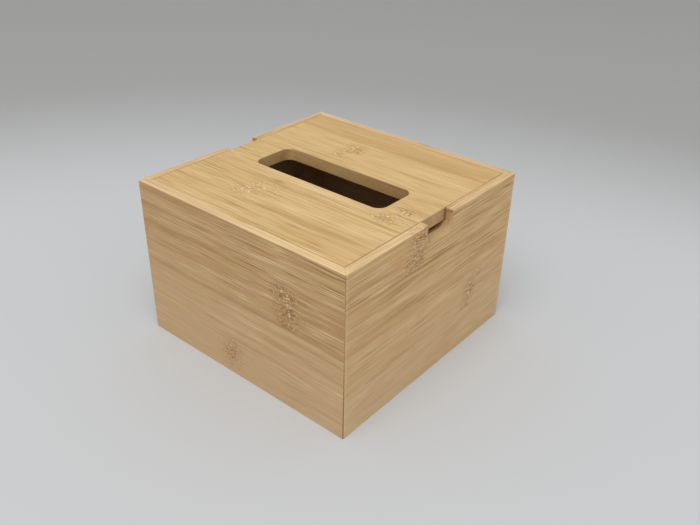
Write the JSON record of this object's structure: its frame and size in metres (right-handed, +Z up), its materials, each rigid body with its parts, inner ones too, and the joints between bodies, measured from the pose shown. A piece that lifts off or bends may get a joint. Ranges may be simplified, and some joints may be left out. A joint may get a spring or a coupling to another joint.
{
  "type": "tissue box with lift-off lid",
  "caption": "Square laminated bamboo tissue box with mitred walls and a flush drop-in lid that has a long dispensing slot and is lifted at finger notches in the rim.",
  "frame": {"origin": "middle of the square that the box stands on", "axes": "+Z up, X along the dispensing slot, Y across it; the finger notches are in the walls at +X and -X"},
  "size_m": [0.13, 0.13, 0.085],
  "materials": {
    "wall_bamboo": "satin clear-coated bamboo",
    "lid_bamboo": "satin clear-coated bamboo",
    "base_bamboo": "bare sanded bamboo"
  },
  "bodies": {
    "box": {"front_wall": "wall_bamboo", "rear_wall": "wall_bamboo", "left_wall": "wall_bamboo", "right_wall": "wall_bamboo", "base_panel": "base_bamboo"},
    "lid": {"lid": "lid_bamboo"}
  },
  "joints": [
    {"name": "lid_lift", "type": "slide", "parent": "box", "child": "lid", "axis": [0, 0, 1], "range_m": [0, 0.1]}
  ]
}
